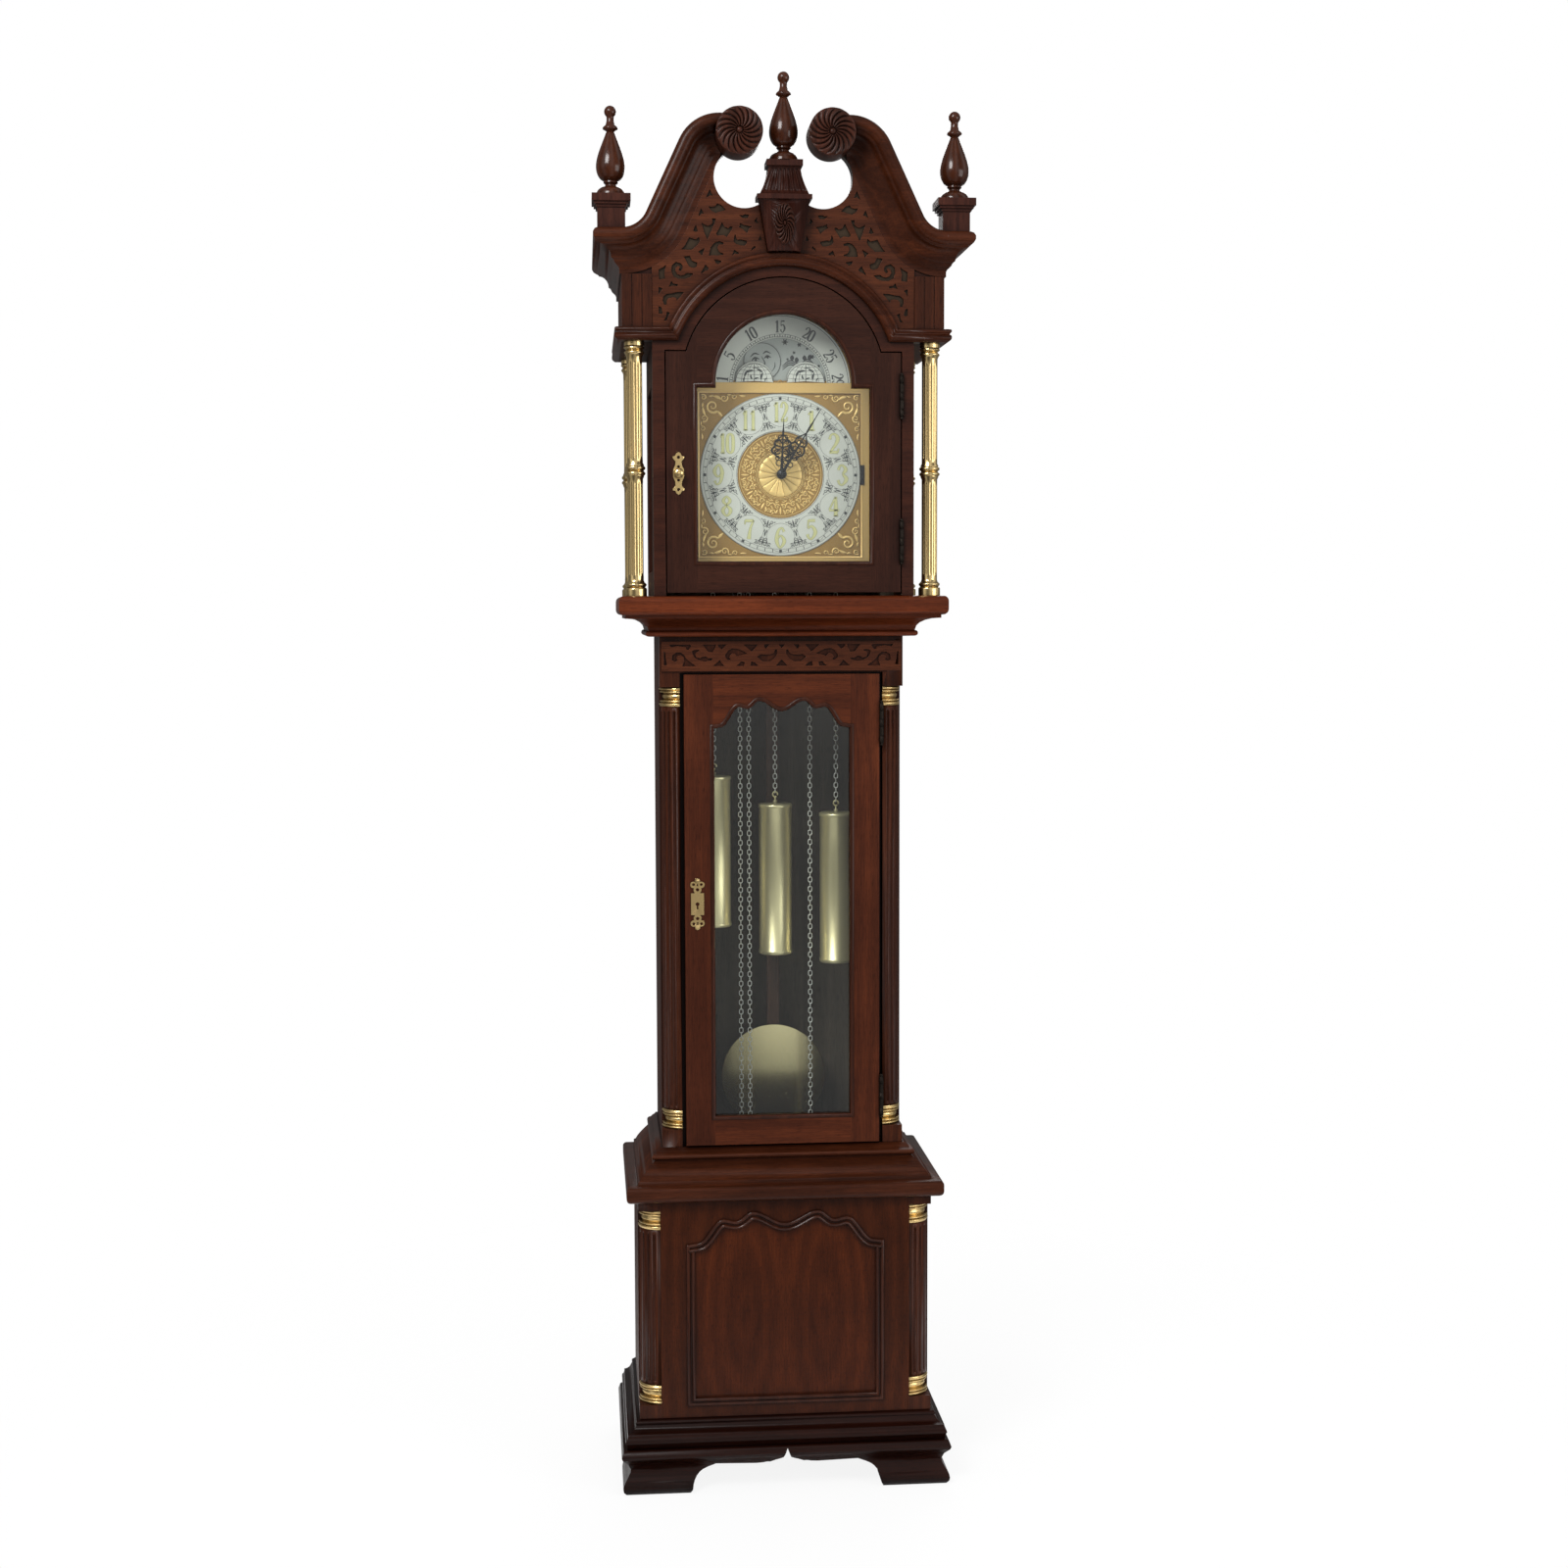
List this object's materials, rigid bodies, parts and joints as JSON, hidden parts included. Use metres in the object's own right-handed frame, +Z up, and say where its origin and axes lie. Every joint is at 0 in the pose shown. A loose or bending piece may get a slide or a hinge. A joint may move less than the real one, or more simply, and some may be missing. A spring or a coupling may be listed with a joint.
{
  "type": "longcase clock",
  "caption": "Longcase clock with swan-neck hood, brass columns, moon dial, glazed trunk door, three weights on chains and a seconds pendulum",
  "frame": {"origin": "on the floor, under the middle of the clock's whole depth and width", "axes": "+Z up, -Y towards the front, +X to the right seen from the front"},
  "size_m": [0.57, 0.356, 2.16],
  "materials": {
    "case_wood": "satin lacquer",
    "figured_wood": "satin lacquer, bookmatched figure",
    "dark_wood": "satin lacquer",
    "fret_wood": "satin lacquer, sawn fretwork",
    "ground_wood": "satin lacquer",
    "carved_wood": "satin lacquer, carved and turned",
    "inner_wood": "oiled",
    "pendulum_wood": "polished",
    "polished_brass": "polished and lacquered",
    "dial_brass": "gilt, satin",
    "movement_brass": "fine ground",
    "silvered": "silvered, satin",
    "moon_enamel": "hand-painted style enamel",
    "black_steel": "satin black",
    "dark_bronze": "dark patinated",
    "bright_steel": "ground",
    "nickel_chain": "nickel plated",
    "clear_glass": "clear"
  },
  "bodies": {
    "case": {"bracket_feet": "case_wood", "base_floor": "case_wood", "plinth_moulding": "case_wood", "base_front": "figured_wood", "base_panel_moulding": "dark_wood", "case_sides": "case_wood", "corner_columns": "case_wood", "column_brasses": "polished_brass", "waist_moulding": "case_wood", "trunk_frame": "case_wood", "back_board": "inner_wood", "fret_panels": "fret_wood", "hood_base": "case_wood", "hood_sides": "case_wood", "hood_front": "ground_wood", "pilasters": "case_wood", "impost_moulding": "case_wood", "cornice_box": "case_wood", "crown_mouldings": "case_wood", "rosettes": "carved_wood", "finial_plinths": "carved_wood", "finials": "carved_wood", "pedestal": "carved_wood", "hood_columns": "polished_brass", "seat_board": "inner_wood", "case_hinges": "dark_bronze", "dial_plate": "dial_brass", "dial_rings": "silvered", "movement_frame": "movement_brass", "chime_rods": "bright_steel", "escape_wheel": "movement_brass", "chain_loops": "nickel_chain"},
    "moon": {"moon_disc": "moon_enamel"},
    "hour": {"hour_hand": "black_steel"},
    "minute": {"minute_hand": "black_steel"},
    "lever": {"chime_lever": "black_steel"},
    "hammers": {"chime_hammers": "movement_brass"},
    "anchor": {"pallet_anchor": "bright_steel"},
    "pendulum": {"pendulum_rod": "pendulum_wood", "pendulum_bob": "polished_brass"},
    "left_drive": {"left_weight": "polished_brass", "left_chain": "nickel_chain"},
    "left_free_chain": {"left_chain_tail": "nickel_chain"},
    "left_wheel": {"left_chain_wheel": "movement_brass"},
    "centre_drive": {"centre_weight": "polished_brass", "centre_chain": "nickel_chain"},
    "centre_free_chain": {"centre_chain_tail": "nickel_chain"},
    "centre_wheel": {"centre_chain_wheel": "movement_brass"},
    "right_drive": {"right_weight": "polished_brass", "right_chain": "nickel_chain"},
    "right_free_chain": {"right_chain_tail": "nickel_chain"},
    "right_wheel": {"right_chain_wheel": "movement_brass"},
    "hood_door_set": {"hood_door": "dark_wood", "hood_glass": "clear_glass", "hood_handle": "polished_brass", "hood_hinges": "dark_bronze"},
    "trunk_door_set": {"trunk_door": "figured_wood", "trunk_glass": "clear_glass", "keyhole_plate": "polished_brass", "trunk_hinges": "dark_bronze"}
  },
  "joints": [
    {"name": "hood_door_hinge", "type": "hinge", "parent": "case", "child": "hood_door_set", "pos_m": [0.178, -0.1275, 1.5], "axis": [0, 0, 1], "range_deg": [0, 110]},
    {"name": "trunk_door_hinge", "type": "hinge", "parent": "case", "child": "trunk_door_set", "pos_m": [0.154, -0.0795, 0.9], "axis": [0, 0, 1], "range_deg": [0, 100]},
    {"name": "pendulum_swing", "type": "hinge", "parent": "case", "child": "pendulum", "pos_m": [0, 0.108, 1.625], "axis": [0, 1, 0], "range_deg": [-3, 3]},
    {"name": "anchor_rock", "type": "hinge", "parent": "case", "child": "anchor", "pos_m": [0, 0.108, 1.625], "axis": [0, 1, 0], "range_deg": [-3, 3]},
    {"name": "minute_turn", "type": "hinge", "parent": "case", "child": "minute", "pos_m": [0, -0.058, 1.571], "axis": [0, 1, 0], "continuous": true},
    {"name": "hour_turn", "type": "hinge", "parent": "case", "child": "hour", "pos_m": [0, -0.058, 1.571], "axis": [0, 1, 0], "continuous": true},
    {"name": "moon_turn", "type": "hinge", "parent": "case", "child": "moon", "pos_m": [0, -0.053, 1.711], "axis": [0, 1, 0], "continuous": true},
    {"name": "lever_slide", "type": "slide", "parent": "case", "child": "lever", "axis": [0, 0, 1], "range_m": [-0.01, 0.01]},
    {"name": "hammer_rock", "type": "hinge", "parent": "case", "child": "hammers", "pos_m": [0, 0.124, 1.465], "axis": [1, 0, 0], "range_deg": [0, 10]},
    {"name": "left_weight_fall", "type": "slide", "parent": "case", "child": "left_drive", "axis": [0, 0, 1], "range_m": [-0.7, 0.27], "deforming": ["left_chain"]},
    {"name": "left_chain_run", "type": "slide", "parent": "case", "child": "left_free_chain", "axis": [0, 0, 1], "range_m": [-0.27, 0.7], "deforming": ["left_chain_tail"]},
    {"name": "left_wheel_turn", "type": "hinge", "parent": "case", "child": "left_wheel", "pos_m": [-0.077, 0.053, 1.483], "axis": [0, 1, 0], "range_deg": [-1910, 737]},
    {"name": "centre_weight_fall", "type": "slide", "parent": "case", "child": "centre_drive", "axis": [0, 0, 1], "range_m": [-0.68, 0.32], "deforming": ["centre_chain"]},
    {"name": "centre_chain_run", "type": "slide", "parent": "case", "child": "centre_free_chain", "axis": [0, 0, 1], "range_m": [-0.32, 0.68], "deforming": ["centre_chain_tail"]},
    {"name": "centre_wheel_turn", "type": "hinge", "parent": "case", "child": "centre_wheel", "pos_m": [-0.021, 0.053, 1.483], "axis": [0, 1, 0], "range_deg": [-874, 1856]},
    {"name": "right_weight_fall", "type": "slide", "parent": "case", "child": "right_drive", "axis": [0, 0, 1], "range_m": [-0.66, 0.33], "deforming": ["right_chain"]},
    {"name": "right_chain_run", "type": "slide", "parent": "case", "child": "right_free_chain", "axis": [0, 0, 1], "range_m": [-0.33, 0.66], "deforming": ["right_chain_tail"]},
    {"name": "right_wheel_turn", "type": "hinge", "parent": "case", "child": "right_wheel", "pos_m": [0.077, 0.053, 1.483], "axis": [0, 1, 0], "range_deg": [-901, 1801]}
  ],
  "couplings": [
    {"joint": "anchor_rock", "follows": "pendulum_swing", "ratio": 1},
    {"joint": "hour_turn", "follows": "minute_turn", "ratio": 0.083333},
    {"joint": "left_chain_run", "follows": "left_weight_fall", "ratio": -1},
    {"joint": "left_wheel_turn", "follows": "left_weight_fall", "rad_per_m": 47.619},
    {"joint": "centre_chain_run", "follows": "centre_weight_fall", "ratio": -1},
    {"joint": "centre_wheel_turn", "follows": "centre_weight_fall", "rad_per_m": -47.619},
    {"joint": "right_chain_run", "follows": "right_weight_fall", "ratio": -1},
    {"joint": "right_wheel_turn", "follows": "right_weight_fall", "rad_per_m": -47.619}
  ]
}
